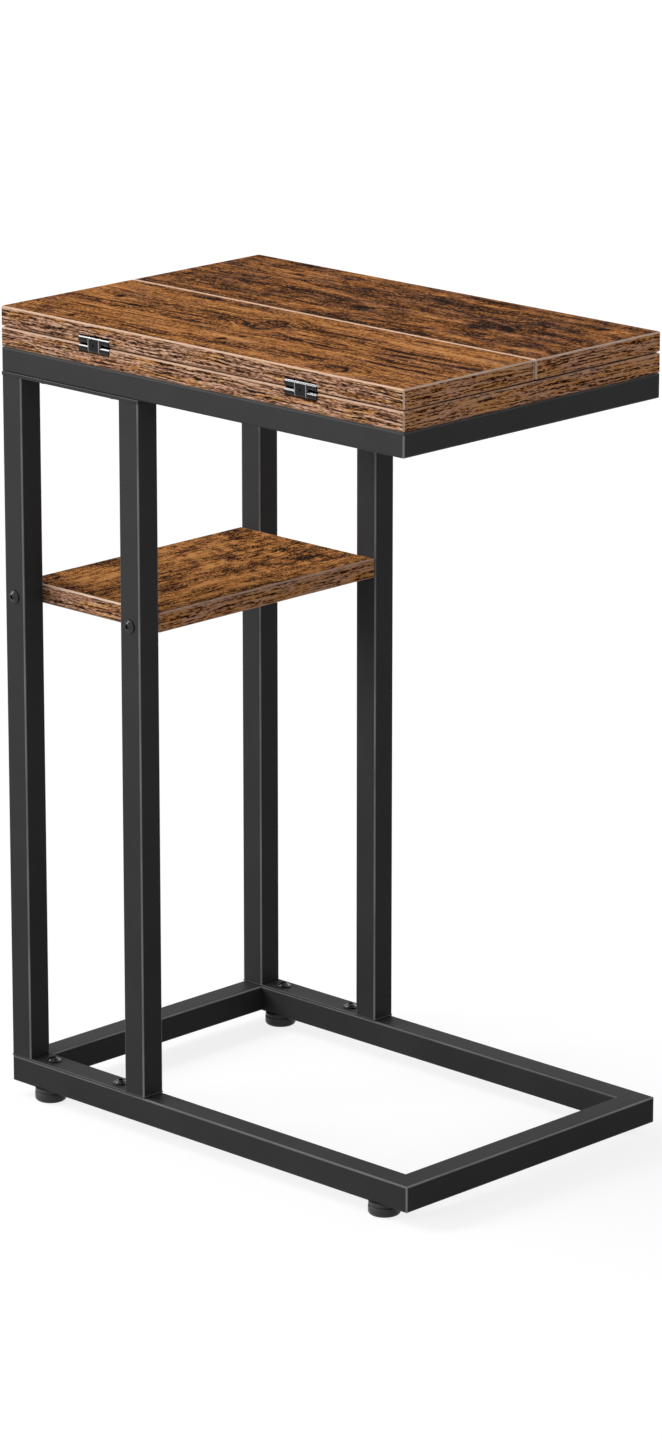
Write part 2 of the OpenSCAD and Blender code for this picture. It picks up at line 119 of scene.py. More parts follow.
class Finish:
    """The nodes of one material, or of the world."""

    MIX_FACTOR, MIX_A, MIX_B, MIX_COLOUR = 0, 6, 7, 2

    def __init__(self, holder):
        holder.use_nodes = True
        self.holder = holder
        self.tree = holder.node_tree
        self.tree.nodes.clear()

    def add(self, kind, settings=None, sockets=None, output=0):
        """A node of any type: its settings come first, then its sockets' values or links."""
        node = self.tree.nodes.new(kind)
        for name, value in (settings or {}).items():
            if name == "stops":
                self.fill_ramp(node.color_ramp, value)
            else:
                setattr(node, name, value)
        for name, value in (sockets or {}).items():
            if isinstance(value, Wire):
                self.tree.links.new(value.socket, node.inputs[name])
            else:
                node.inputs[name].default_value = value
        if node.outputs:
            return Wire(self, node.outputs[output])

    @staticmethod
    def fill_ramp(ramp, stops):
        """Sets a colour ramp from (place, colour) pairs."""
        while len(ramp.elements) < len(stops):
            ramp.elements.new(1.0)
        for element, (place, colour) in zip(ramp.elements, stops):
            element.position = place
            element.color = colour

    def place(self):
        """The point on the table at rest, in millimetres."""
        point = self.add("ShaderNodeTexCoord", output="Object")
        return self.vector("SCALE", point, Scale=1 / MM)

    def facing(self):
        """The direction that the surface faces in the piece's own frame, as x, y and z."""
        normal = self.add("ShaderNodeTexCoord", output="Normal")
        return [self.axis(normal, name) for name in "XYZ"]

    def math(self, operation, *values):
        return self.add("ShaderNodeMath", {"operation": operation}, dict(enumerate(values)))

    def vector(self, operation, *values, **named):
        sockets = {**dict(enumerate(values)), **named}
        output = "Value" if operation == "LENGTH" else "Vector"
        return self.add("ShaderNodeVectorMath", {"operation": operation}, sockets, output)

    def axis(self, vector, name):
        return self.add("ShaderNodeSeparateXYZ", None, {"Vector": vector}, name)

    def point(self, x, y, z):
        return self.add("ShaderNodeCombineXYZ", None, {"X": x, "Y": y, "Z": z})

    def noise(self, vector, size, detail=2.0, roughness=0.5, seed=0):
        """Cloudy noise about 0, seldom past 0.3.

        size is how far its clouds reach along each axis, in millimetres."""
        stretched = self.vector("DIVIDE", vector, size)
        moved = self.vector("ADD", stretched, (7.31 * seed, 3.17 * seed, 5.73 * seed))
        sockets = {"Vector": moved, "Scale": 1.0, "Detail": detail, "Roughness": roughness}
        return self.add("ShaderNodeTexNoise", None, sockets, "Fac") - 0.5

    def ramp(self, value, stops):
        return self.add("ShaderNodeValToRGB", {"stops": stops}, {"Fac": value}, "Color")

    def mix(self, factor, a, b, blend="MIX"):
        settings = {"data_type": "RGBA", "blend_type": blend}
        sockets = {self.MIX_FACTOR: factor, self.MIX_A: a, self.MIX_B: b}
        return self.add("ShaderNodeMix", settings, sockets, self.MIX_COLOUR)

    def step(self, value, low, high, start=0.0, end=1.0):
        """A smooth step from start at low to end at high."""
        settings = {"interpolation_type": "SMOOTHSTEP"}
        ends = {"From Min": low, "From Max": high, "To Min": start, "To Max": end}
        return self.add("ShaderNodeMapRange", settings, {"Value": value, **ends})

    def bump(self, height, depth):
        """Raises the surface by height times depth, in metres."""
        sockets = {"Strength": 1.0, "Distance": depth, "Height": height}
        return self.add("ShaderNodeBump", None, sockets, "Normal")

    def surface(self, **sockets):
        """Ends the material in one Principled shader; _ stands for a blank in a socket's name."""
        named = {name.replace("_", " "): value for name, value in sockets.items()}
        shader = self.add("ShaderNodeBsdfPrincipled", None, named)
        self.add("ShaderNodeOutputMaterial", None, {"Surface": shader})
        return self.holder


# Browns of the printed boards' golden and reddish planks, from the darkest fibres to the brightest
GOLDEN_BROWNS = [
    (0.02, srgb(36, 24, 19)),
    (0.16, srgb(70, 43, 27)),
    (0.30, srgb(103, 65, 38)),
    (0.44, srgb(134, 85, 48)),
    (0.58, srgb(163, 104, 57)),
    (0.72, srgb(190, 125, 69)),
    (0.88, srgb(216, 153, 92)),
]
REDDISH_BROWNS = [
    (0.02, srgb(33, 24, 23)),
    (0.16, srgb(63, 41, 32)),
    (0.30, srgb(92, 61, 45)),
    (0.44, srgb(119, 80, 57)),
    (0.58, srgb(144, 97, 67)),
    (0.72, srgb(169, 115, 77)),
    (0.88, srgb(196, 140, 98)),
]

# Dark patches of the closed top, in millimetres: x from its left end, y from its front,
# half length and half width; the last number is how much darker they are
TOP_PATCHES = [
    (99, 136, 15, 9, 0.30),
    (78, 137, 16, 7, 0.16),
    (30, 10, 26, 7, 0.18),
    (162, 87, 16, 7.5, 0.32),
    (187, 84, 10, 5, 0.20),
    (183, 103, 12, 11, 0.12),
    (228, 95, 8, 12, 0.18),
    (267, 101, 20, 8, 0.18),
    (275, 88, 34, 13, 0.08),
    (292, 18, 12, 4.5, 0.26),
    (300, 30, 34, 11, 0.12),
    (254, 11, 11, 8, 0.18),
    (285, 133, 60, 9, 0.10),
    (130, 116, 50, 9, 0.05),
    (358, 77, 18, 10, 0.12),
    (415, 78, 34, 13, 0.10),
    (335, 10, 10, 6, 0.24),
    (352, 23, 16, 5, 0.22),
    (366, 13, 8, 8, 0.14),
    (220, 12, 12, 14, 0.08),
    (167, 246, 18, 10, 0.34),
    (198, 243, 22, 4, 0.20),
    (128, 244, 22, 5, 0.18),
    (48, 235, 16, 6, 0.16),
    (94, 225, 26, 4, 0.16),
    (150, 282, 16, 5, 0.20),
    (70, 283, 30, 7, 0.18),
    (215, 284, 30, 4, 0.22),
    (16, 193, 12, 5, 0.18),
    (62, 191, 24, 4, 0.14),
    (116, 190, 16, 7, 0.18),
    (183, 196, 46, 20, 0.10),
    (211, 190, 11, 11, 0.22),
    (228, 190, 10, 9, 0.16),
    (250, 195, 14, 13, 0.20),
    (233, 255, 22, 7, 0.32),
    (274, 257, 14, 5, 0.20),
    (269, 215, 18, 8, 0.16),
    (300, 224, 30, 8, 0.16),
    (330, 211, 16, 14, 0.30),
    (325, 196, 18, 9, 0.18),
    (347, 224, 12, 12, 0.16),
    (385, 225, 10, 13, 0.16),
    (404, 180, 9, 7, 0.26),
    (400, 273, 22, 4, 0.18),
    (395, 240, 14, 8, 0.12),
    (313, 151, 18, 5, 0.22),
    (365, 150, 14, 5, 0.20),
    (190, 152, 14, 5, 0.14),
    (60, 215, 60, 8, 0.08),
]

# Bright patches of the closed top, in the same form
TOP_LIGHTS = [
    (370, 113, 66, 11, 0.16),
    (290, 57, 66, 10, 0.14),
    (100, 44, 44, 7, 0.12),
    (110, 58, 40, 5, 0.08),
    (200, 58, 40, 10, 0.08),
    (314, 90, 14, 16, 0.10),
    (160, 30, 40, 8, 0.06),
    (405, 38, 26, 12, 0.08),
    (30, 130, 26, 9, 0.10),
    (390, 76, 26, 4, 0.10),
    (104, 264, 13, 15, 0.16),
    (160, 266, 22, 8, 0.12),
    (262, 270, 46, 8, 0.14),
    (300, 181, 26, 13, 0.18),
    (312, 245, 34, 10, 0.10),
    (415, 252, 24, 18, 0.18),
    (160, 163, 50, 9, 0.16),
    (40, 164, 40, 10, 0.10),
    (288, 205, 20, 7, 0.14),
    (238, 240, 14, 7, 0.10),
    (412, 161, 22, 6, 0.12),
    (60, 250, 30, 8, 0.06),
]

# Thin dark strokes of the closed top: x, y, half length, half width, tilt in degrees, darkness
TOP_STROKES = [
    (105, 78, 48, 2.0, 3.5, 0.26),
    (73, 76, 7, 2.8, -8, 0.34),
    (32, 73, 36, 1.9, 1, 0.17),
    (36, 64, 32, 1.6, 1, 0.15),
    (65, 63, 5, 2.8, 35, 0.24),
    (3, 60, 8, 2.6, 0, 0.24),
    (3, 68, 6, 2.6, 0, 0.24),
    (78, 50, 66, 1.9, 2, 0.16),
    (48, 49, 15, 2.4, 2, 0.14),
    (57, 28, 32, 2.0, 8, 0.17),
    (150, 64, 32, 2.2, 7, 0.20),
    (41, 91, 5, 3.8, -20, 0.44),
    (66, 15, 3.2, 5.5, 20, 0.32),
    (213, 34, 3.4, 5.5, 12, 0.42),
    (158, 13, 22, 2.0, -3, 0.18),
    (270, 108, 40, 2.4, 0, 0.22),
    (240, 76, 11, 2.4, -20, 0.24),
    (261, 71, 13, 2.4, -8, 0.26),
    (285, 69, 15, 2.4, 1, 0.26),
    (309, 71, 11, 2.2, 13, 0.18),
    (290, 81, 13, 3.5, 0, 0.16),
    (346, 94, 22, 2.6, -2, 0.24),
    (394, 96, 36, 2.1, 3, 0.20),
    (355, 82, 15, 3.0, 9, 0.26),
    (404, 84, 30, 2.8, 3, 0.26),
    (428, 88, 11, 4.5, 8, 0.22),
    (355, 67, 15, 2.8, -10, 0.24),
    (385, 64, 24, 2.5, 2, 0.26),
    (422, 69, 16, 2.4, 12, 0.18),
    (398, 52, 38, 2.0, 2, 0.18),
    (350, 131, 32, 2.4, 6, 0.20),
    (312, 35, 15, 2.8, 0, 0.24),
    (275, 34, 26, 2.2, 2, 0.12),
    (120, 100, 44, 2.4, -4, 0.12),
    (100, 98, 7, 3.0, -35, 0.14),
    (222, 50, 5, 2.6, -35, 0.26),
    (247, 46, 4, 3.0, -30, 0.18),
    (150, 110, 46, 1.8, -2, 0.12),
    (20, 112, 30, 2.4, -6, 0.12),
    (300, 48, 60, 1.6, -1, 0.10),
    (180, 43, 40, 1.8, 5, 0.10),
    (235, 20, 34, 2.0, -4, 0.12),
    (130, 22, 30, 1.8, -6, 0.12),
    (416, 122, 24, 2.2, -3, 0.16),
    (415, 20, 30, 2.4, 3, 0.12),
    (82, 252, 6, 3.2, 10, 0.34),
    (404, 264, 6, 3.6, 30, 0.30),
    (393, 170, 7, 4.0, 0, 0.30),
    (435, 170, 6, 4.5, 0, 0.28),
    (350, 212, 13, 4.5, -25, 0.20),
    (20, 208, 40, 1.8, 3, 0.14),
    (150, 178, 60, 1.8, -3, 0.14),
    (120, 210, 50, 1.8, 4, 0.14),
    (220, 228, 50, 2.0, -3, 0.14),
    (60, 262, 40, 1.8, 4, 0.12),
    (300, 282, 50, 2.0, 0, 0.16),
    (395, 204, 40, 2.2, -6, 0.16),
    (260, 168, 50, 2.0, 4, 0.14),
]

# Knots of the closed top: x, y, half length, half width
TOP_KNOTS = [
    (206, 95, 10.5, 17),
    (349, 15, 15, 11),
    (359, 230, 11, 12),
]

# Dark patches of the shelf: x from its left end, y from its front, half width, half length and
# darkness
SHELF_PATCHES = [
    # The first patch, at the left front corner beside the post, is painted shade
    (10, 12, 18, 18, 0.44),
    (60, 8, 46, 8, 0.26),
    (77, 214, 9, 11, 0.44),
    (115, 207, 9, 11, 0.32),
    (113, 184, 9, 11, 0.20),
    (141, 197, 12, 20, 0.28),
    (68, 162, 9, 9, 0.42),
    (108, 61, 6, 14, 0.42),
    (59, 190, 5, 15, 0.14),
    (92, 233, 14, 7, 0.22),
    (147, 118, 7, 20, 0.12),
    (120, 149, 9, 11, 0.16),
    (13, 82, 5, 5, 0.20),
    (130, 226, 22, 10, 0.16),
    (95, 120, 8, 26, 0.08),
]

# Bright patches of the shelf, in the same form
SHELF_LIGHTS = [
    (28, 50, 26, 34, 0.25),
    (36, 180, 28, 34, 0.21),
    (117, 98, 14, 32, 0.17),
    (129, 42, 16, 28, 0.23),
    (91, 89, 14, 17, 0.20),
    (126, 203, 8, 12, 0.08),
    (60, 130, 26, 34, 0.10),
]

# Thin dark strokes of the shelf: x, y, half width, half length, tilt in degrees, darkness
SHELF_STROKES = [
    (50, 100, 1.8, 30, 3, 0.16),
    (84, 70, 1.8, 26, -3, 0.16),
    (100, 170, 2.0, 26, 2, 0.14),
    (26, 140, 1.8, 30, -2, 0.14),
    (134, 84, 1.8, 26, 4, 0.14),
    (46, 218, 2.2, 22, -4, 0.16),
]


def oval(finish, place, corner, x, y, half_x, half_y, tilt=0.0):
    """How far a point is from the middle of an oval on a board's face: 1 at its outline.

    tilt is in degrees: a mirror at half that angle lays the oval along X."""
    offset = finish.vector("SUBTRACT", place, (corner[0] + x, corner[1] + y, corner[2]))
    if tilt:
        half = math.radians(tilt / 2)
        offset = finish.vector("REFLECT", offset, (-math.sin(half), math.cos(half), 0.0))
    return finish.vector("LENGTH", finish.vector("DIVIDE", offset, (half_x, half_y, OVAL_DEPTH)))


def blotches(finish, place, corner, ovals, inner=0.2, outer=1.4):
    """The sum of ovals on the face whose corner is given; the last number of each is its strength.

    They fade from the part inner of the way to their outline to the part outer."""
    total = 0.0
    for *shape, strength in ovals:
        reach = oval(finish, place, corner, *shape)
        total = total + finish.step(reach, inner, outer, strength, 0.0)
    return total


def knots(finish, place, corner, spots, patchy):
    """How much darker the knots make each point: thin patchy oval rings, each with a small eye."""
    total = 0.0
    for spot in spots:
        reach = oval(finish, place, corner, *spot)
        outline = finish.step(reach, 0.76, 0.92) * finish.step(reach, 0.98, 1.22, 1.0, 0.0)
        inner = finish.step(reach, 0.30, 0.42) * finish.step(reach, 0.46, 0.60, 0.25, 0.0)
        eye = finish.step(reach, 0.02, 0.16, 0.4, 0.0)
        halo = finish.step(reach, 1.0, 2.2, 0.16, 0.0)
        total = total + 0.46 * (patchy * outline + inner + eye) + 0.5 * halo
    return total


def round_the_knots(finish, place, corner, spots):
    """The point, drawn towards the line along X through each near knot: the grain bows round it."""
    for x, y, half_x, half_y in spots:
        reach = oval(finish, place, corner, x, y, 1.3 * half_x, half_y)
        near = finish.step(reach, 0.6, 3.0, 0.75, 0.0)
        offset = finish.vector("SUBTRACT", place, (corner[0] + x, corner[1] + y, corner[2]))
        pull = near * finish.axis(offset, "Y")
        place = finish.vector("SUBTRACT", place, finish.point(0.0, pull, 0.0))
    return place


def printed_board(name, along, corner, prints, level, golden_share, reach, contrast):
    """Rough-sawn brown planks printed on a board, with the grain along X or Y.

    The tone adds up bands, streaks, fibres and fine mottling, each a noise stretched along a grain
    that waves and bows round the knots. Growth lines are the troughs of a sine wave across that
    grain, broken up by noise. Listed patches, strokes and knots darken it, each torn along the
    fibres, and two ramps turn the tone into golden and reddish brown.

    prints are the patches, lights, strokes and knots. level is the tone of the front leaf and of
    the back one, golden_share how far each goes towards the golden brown, reach how long the
    fibres are and contrast how strong."""
    patches, lights, lines, rings = prints
    finish = Finish(bpy.data.materials.new(name))
    place = finish.place()

    def laid(length, width, depth):
        """The three values in the order of the axes, for this board's grain."""
        return (length, width, depth) if along == "X" else (width, length, depth)

    def size(length, width, depth=12):
        return laid(length * reach, width, depth)

    def shift(length, width):
        return finish.point(*laid(length, width, 0.0))

    bow = round_the_knots(finish, place, corner, rings)
    waver = 14.0 * finish.noise(place, size(120, 40, 30), 2.0, 0.5, 1)
    ripple = 4.0 * finish.noise(place, size(30, 12, 20), 2.0, 0.5, 2)
    grain = finish.vector("ADD", bow, shift(0.0, waver + ripple))
    tear = finish.noise(grain, size(16, 1.9, 8), 3.0, 0.6, 3)
    fray = finish.noise(place, size(7, 4, 8), 2.0, 0.6, 4)
    ragged = finish.vector("ADD", place, shift(24.0 * tear + 10.0 * fray, 7.0 * fray + 3.0 * tear))
    near = finish.vector("ADD", place, shift(12.0 * tear + 6.0 * fray, 3.0 * fray + 0.3 * ripple))

    bands = finish.noise(grain, size(150, 13), 2.0, 0.5, 5)
    streaks = finish.noise(grain, size(60, 3.4), 3.0, 0.6, 6)
    fibres = finish.noise(grain, size(22, 1.2, 5), 3.0, 0.65, 7)
    clouds = finish.noise(place, size(24, 15), 4.0, 0.62, 8)
    mottle = finish.noise(place, size(2.6, 1.5, 4), 2.0, 0.6, 9)
    saw = finish.noise(place, size(1.4, 9, 8), 1.0, 0.5, 10)
    across = finish.axis(grain, "Y" if along == "X" else "X")
    drift = finish.noise(grain, size(160, 24), 2.0, 0.5, 11)
    phase = across * (math.tau / GROWTH_PITCH) + 16.0 * drift
    wave = phase.math("SINE")
    broken = finish.step(finish.noise(grain, size(40, 7), 2.0, 0.6, 12), -0.06, 0.14)
    growth = finish.step(wave, 0.55, 0.98) * broken

    back = finish.step(finish.axis(place, "Y"), -0.6, 0.6)
    marks = blotches(finish, ragged, corner, patches)
    scored = blotches(finish, near, corner, lines, 0.5, 1.5)
    glows = blotches(finish, ragged, corner, lights)
    broad = 0.9 * bands + (1.0 - 0.35 * back) * streaks + (0.35 + 0.75 * back) * clouds
    busy = finish.step(glows + broad - marks, -0.22, 0.22, 1.3, 0.6)
    fine = (1.9 * fibres + 1.9 * mottle) * busy * contrast
    dark = finish.step(marks + 1.1 * fine * (marks + 0.05), 0.04, 0.38, 0.0, 0.36)
    dark = dark + scored * (1.5 + 1.2 * fine)
    tone = level[0] + back * (level[1] - level[0]) + broad * contrast
    tone = tone + fine + 0.4 * saw + glows - dark - 0.11 * growth
    if rings:
        close = finish.vector("ADD", place, finish.point(5.0 * fray, 5.0 * fray, 0.0))
        gaps = finish.noise(place, (9, 9, 9), 2.0, 0.5, 13)
        patchy = finish.step(gaps, -0.22, 0.12, 0.35, 1.0)
        tone = tone - knots(finish, close, corner, rings, patchy)
    golden = finish.ramp(tone, GOLDEN_BROWNS)
    reddish = finish.ramp(tone, REDDISH_BROWNS)
    share = golden_share[0] + back * (golden_share[1] - golden_share[0])
    redder = finish.noise(grain, size(60, 14), 3.0, 0.55, 14) + 0.35 * marks - 0.3 * share
    colour = finish.mix(finish.step(redder, -0.26, 0.06), golden, reddish)
    relief = 0.7 * fibres + 0.5 * streaks - 0.2 * growth
    return finish.surface(
        Base_Color=colour, Roughness=0.64 - 0.2 * clouds + 0.2 * fibres,
        Normal=finish.bump(relief, 0.08 * MM), Specular_IOR_Level=0.003,
    )


# Browns of the edge band, from its cracks to its palest fibres: pinkish and orange stretches
BAND_PINKS = [
    (0.02, srgb(38, 31, 29)),
    (0.18, srgb(74, 52, 42)),
    (0.34, srgb(115, 80, 60)),
    (0.50, srgb(151, 108, 81)),
    (0.66, srgb(182, 136, 108)),
    (0.84, srgb(210, 165, 137)),
    (1.00, srgb(231, 191, 163)),
]
BAND_ORANGES = [
    (0.02, srgb(40, 30, 22)),
    (0.18, srgb(78, 50, 31)),
    (0.34, srgb(122, 80, 46)),
    (0.50, srgb(163, 108, 60)),
    (0.66, srgb(194, 134, 78)),
    (0.84, srgb(215, 158, 102)),
    (1.00, srgb(234, 184, 131)),
]

# Pale lines along the bevels: of the top, of every end that faces left or right, and of the shelf
BAND_EDGE = srgb(231, 196, 170)
END_EDGE = srgb(255, 226, 206)
SHELF_EDGE = srgb(255, 226, 204)

# Multiplies the browns of the ends, which are warmer
END_TINT = srgb(255, 236, 221)


def edge_band(name, end_line, seam_line=0.0, edge=BAND_EDGE, corner_line=1.0):
    """Brown edge band of straight thin lines with dark dashes, and a pale line along its bevels.

    edge is the colour of the bevels. The others go from 0 to 1: end_line is how pale the bevels of
    the short ends are, seam_line how pale the bands' own thickness is where the two leaves meet,
    and corner_line how pale the upright corners are. Bevels that face down keep only 0.35 of the
    pale line, as painted shade."""
    finish = Finish(bpy.data.materials.new(name))
    place = finish.place()
    x, y, z = [finish.axis(place, name) for name in "XYZ"]
    facing = finish.facing()
    faces = [wire.math("ABSOLUTE") for wire in facing]
    on_end = finish.step(faces[0] - faces[1], -0.02, 0.02)
    run = x + on_end * (y - x)
    across = y + on_end * (x - y)
    laid = finish.point(run, across, z)

    waver = finish.noise(laid, (70, 60, 20), 2.0, 0.5, 1)
    level = z + 3.0 * waver + 0.5 * finish.noise(laid, (16, 60, 6), 2.0, 0.5, 2)
    grain = finish.point(run, across * 0.3, level)
    flow = finish.noise(grain, (70, 60, 6), 2.0, 0.5, 3)
    phase = level * (math.tau / RIDGE_PITCH) + 17.0 * flow
    ridge = phase.math("SINE")
    swell = finish.noise(grain, (26, 40, 2.4), 2.0, 0.5, 4)
    strength = finish.step(swell, -0.12, 0.12, 0.04, 0.26)
    broad = finish.noise(grain, (80, 60, 5), 2.0, 0.5, 5)
    lines = finish.noise(grain, (30, 40, 1.1), 3.0, 0.6, 6)
    fibres = finish.noise(grain, (4.5, 30, 0.8), 2.0, 0.6, 7)
    where = finish.noise(laid, (36, 60, 9), 2.0, 0.5, 8)
    split = finish.noise(grain, (9, 40, 1.0), 2.0, 0.5, 9) + 0.3 * where - 0.09 * ridge
    cracks = finish.step(split, 0.12, 0.16)
    flecks = finish.step(finish.noise(grain, (7, 40, 0.8), 1.0, 0.5, 10), 0.10, 0.15)
    detail = 0.3 * broad + 1.9 * lines + 2.2 * fibres + strength * ridge
    detail = detail - 0.44 * cracks + 0.22 * flecks
    tone = 0.53 + 0.31 * on_end + detail * (1.0 + 0.9 * on_end)
    pink = finish.ramp(tone, BAND_PINKS)
    orange = finish.ramp(tone, BAND_ORANGES)
    stretch = finish.noise(grain, (50, 60, 5), 2.0, 0.6, 11) + 0.06 * on_end
    brown = finish.mix(finish.step(stretch, -0.02, 0.16), pink, orange)
    brown = finish.mix(on_end, brown, END_TINT, "MULTIPLY")

    sharpest = faces[0].math("MAXIMUM", faces[1]).math("MAXIMUM", faces[2])
    bevel = finish.step(sharpest, 0.80, 0.95, 1.0, 0.0)
    rub = finish.noise(laid, (9, 9, 9), 2.0, 0.5, 12)
    # Painted shade: bevels that face down keep only 0.35 of the pale line; upright ones take
    # corner_line
    painted_shade_by_facing = finish.step(facing[2], -0.5, -0.2, 0.35, corner_line)
    painted_shade_by_facing = painted_shade_by_facing + finish.step(facing[2], 0.2, 0.5, 0.0, 1.0 - corner_line)
    pale = bevel * (0.86 + 0.4 * rub) * painted_shade_by_facing * (1.0 - on_end * (1.0 - end_line))
    seam = finish.step(y.math("ABSOLUTE"), SEAM_PALE, SEAM_CLEAR, seam_line, 0.0) * on_end
    line = finish.mix(on_end, edge, END_EDGE)
    colour = finish.mix(pale.math("MAXIMUM", seam), brown, line)
    relief = (0.8 * lines + 0.4 * fibres + 0.06 * ridge - 0.4 * cracks) * (1.0 - bevel)
    return finish.surface(
        Base_Color=colour, Roughness=0.6 + 0.2 * fibres, Normal=finish.bump(relief, 0.08 * MM),
        Specular_IOR_Level=0.012,
    )


def powder_coat():
    """Black powder coat: fine orange peel, faint clouds, painted light that makes it lighter
    towards the top, and a paler line along its upper edges, partly where edges thin it and partly a
    painted highlight.
    """
    finish = Finish(bpy.data.materials.new("powder_coat"))
    place = finish.place()
    peel = finish.noise(place, (0.9, 0.9, 0.9), 2.0, 0.6)
    cloud = finish.noise(place, (60, 60, 60), 3.0, 0.5, 1)
    level = finish.axis(place, "Z")
    # Painted light: the coat grows lighter towards the top, as if lit more from above
    height = finish.step(level, 0.0, LEAF_HIGH / MM, -0.5, 0.5)
    shade = 0.5 + 0.8 * cloud + 0.5 * peel + 0.8 * height
    coat = finish.mix(shade, srgb(50, 50, 51), srgb(66, 66, 67))
    x, y, z = finish.facing()
    flat = x.math("ABSOLUTE").math("MAXIMUM", y.math("ABSOLUTE"))
    flat = flat.math("MAXIMUM", z.math("ABSOLUTE"))
    # The painted highlight fades to a fifth on the rails' upper edges just under the boards
    dim_under_boards = finish.step(level, TOP_LOW.z / MM - 3, TOP_LOW.z / MM - 2, 1.0, 0.2)
    # Painted highlight along the upper rounded edges, with some wear where the coat thins
    edge = finish.step(flat, 0.84, 1.0, 1.0, 0.0) * finish.step(z, -0.5, 0.1) * dim_under_boards
    rub = finish.noise(place, (40, 40, 40), 2.0, 0.5, 2)
    # The painted highlight is brighter on edges that face +X
    wear_and_highlight = finish.mix(finish.step(x, 0.2, 0.6), srgb(116, 116, 117), srgb(172, 172, 173))
    colour = finish.mix(edge * (0.8 + 0.8 * rub), coat, wear_and_highlight)
    return finish.surface(
        Base_Color=colour, Roughness=0.48 + 0.2 * peel, Normal=finish.bump(peel, 0.035 * MM),
        Specular_IOR_Level=0.06,
    )


def link_edges(finish, place):
    """Where the painted highlight goes on the hinge links: 1 along the two long edges of each link,
    and 0 on the rest of it.
    """
    low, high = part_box("hinge_links_front")
    x = finish.axis(place, "X")
    left, right = x - (low.x / MM + LINK_HALF), x - (high.x / MM - LINK_HALF)
    offset = left.math("ABSOLUTE").math("MINIMUM", right.math("ABSOLUTE"))
    return finish.step(offset, LINK_HALF - 1.0, LINK_HALF - 0.6)


def black_plate(name, colour, roughness, gloss, link_edge_highlight=False):
    """Glossy black plating with faint polishing marks.

    The last argument is for the links of the hinges: it paints a pale highlight along their long
    edges."""
    finish = Finish(bpy.data.materials.new(name))
    place = finish.place()
    marks = finish.noise(place, (6, 0.5, 0.5), 2.0)
    shade = finish.mix(0.5 + marks, srgb(*colour), srgb(*[value + 6 for value in colour]))
    if link_edge_highlight:
        # Painted highlight along the links' long edges
        shade = finish.mix(link_edges(finish, place), shade, srgb(160, 160, 163))
    return finish.surface(
        Base_Color=shade, Roughness=roughness + 0.1 * marks,
        Normal=finish.bump(marks, 0.002 * MM), Specular_IOR_Level=gloss,
    )


def zinc_plate():
    """Bright zinc plating, slightly clouded."""
    finish = Finish(bpy.data.materials.new("zinc_plate"))
    place = finish.place()
    cloud = finish.noise(place, (3, 3, 3), 3.0)
    grain = finish.noise(place, (0.6, 0.6, 4), 2.0, 0.5, 1)
    colour = finish.mix(0.5 + cloud, srgb(165, 167, 170), srgb(205, 206, 208))
    return finish.surface(
        Base_Color=colour, Metallic=1.0, Roughness=0.38 + 0.2 * grain,
        Normal=finish.bump(grain, 0.01 * MM),
    )


def black_plastic():
    """Moulded black plastic with a fine grain."""
    finish = Finish(bpy.data.materials.new("black_plastic"))
    place = finish.place()
    grain = finish.noise(place, (0.5, 0.5, 0.5), 2.0)
    colour = finish.mix(0.5 + grain, srgb(50, 50, 51), srgb(62, 62, 63))
    return finish.surface(
        Base_Color=colour, Roughness=0.42 + 0.15 * grain, Normal=finish.bump(grain, 0.03 * MM),
        Specular_IOR_Level=0.25,
    )


def corner_of(low, height):
    """A face's near left corner, in millimetres."""
    return (low.x / MM, low.y / MM, height / MM)


def dress():
    """Gives every CAD piece its finish, by the record's material slots and the board it is."""
    top = printed_board(
        "top_board", along="X", corner=corner_of(TOP_LOW, LEAF_HIGH),
        prints=(TOP_PATCHES, TOP_LIGHTS, TOP_STROKES, TOP_KNOTS),
        level=(0.51, 0.34), golden_share=(0.75, 0.5), reach=1.0, contrast=1.15,
    )
    shelf = printed_board(
        "shelf_board", along="Y", corner=corner_of(SHELF_LOW, SHELF_HIGH.z),
        prints=(SHELF_PATCHES, SHELF_LIGHTS, SHELF_STROKES, []),
        level=(0.455, 0.455), golden_share=(1.3, 1.2), reach=0.45, contrast=1.7,
    )
    by_slot = {
        "rustic_board": top,
        "edge_band": edge_band("edge_band", 1.0, seam_line=1.0),
        "black_steel": powder_coat(),
        "black_hinge": black_plate("hinge_black", (5, 5, 6), roughness=0.07, gloss=0.22),
        "black_bolt": black_plate("bolt_black", (12, 12, 13), roughness=0.3, gloss=0.5),
        "zinc_steel": zinc_plate(),
        "black_plastic": black_plastic(),
    }
    # Hinge links with a painted highlight along their long edges
    highlit_link = black_plate("hinge_link_black", (5, 5, 6), 0.07, 0.22, link_edge_highlight=True)
    by_node = {
        "hinge_links_front": highlit_link,
        "hinge_links_back": highlit_link,
        "shelf_board": shelf,
        "shelf_edging": edge_band("shelf_edge_band", 0.85, edge=SHELF_EDGE, corner_line=0.1),
        # The lower band's ends keep only 0.35 of their pale bevel line: painted shade under the
        # leaves
        "fixed_top_edging": edge_band("lower_edge_band", 0.35),
    }
    for row in frame["record"]["subparts"]:
        finish = by_node.get(row["node"], by_slot[row["material_slot"]])
        for slot in frame["nodes"][row["node"]].material_slots:
            slot.material = finish
    make_feet(by_slot["black_plastic"])


def arc(centre_radius, centre_height, reach, start, end, steps=8):
    """The points of a rounded corner in a lathe profile.

    Each is the centre plus reach times the cosine outwards and the sine upwards of its angle, and
    the angles go evenly from start to end, in degrees from straight out."""
    angles = np.radians(np.linspace(start, end, steps))
    outwards, upwards = reach * np.cos(angles), reach * np.sin(angles)
    return np.stack([centre_radius + outwards, centre_height + upwards], 1)


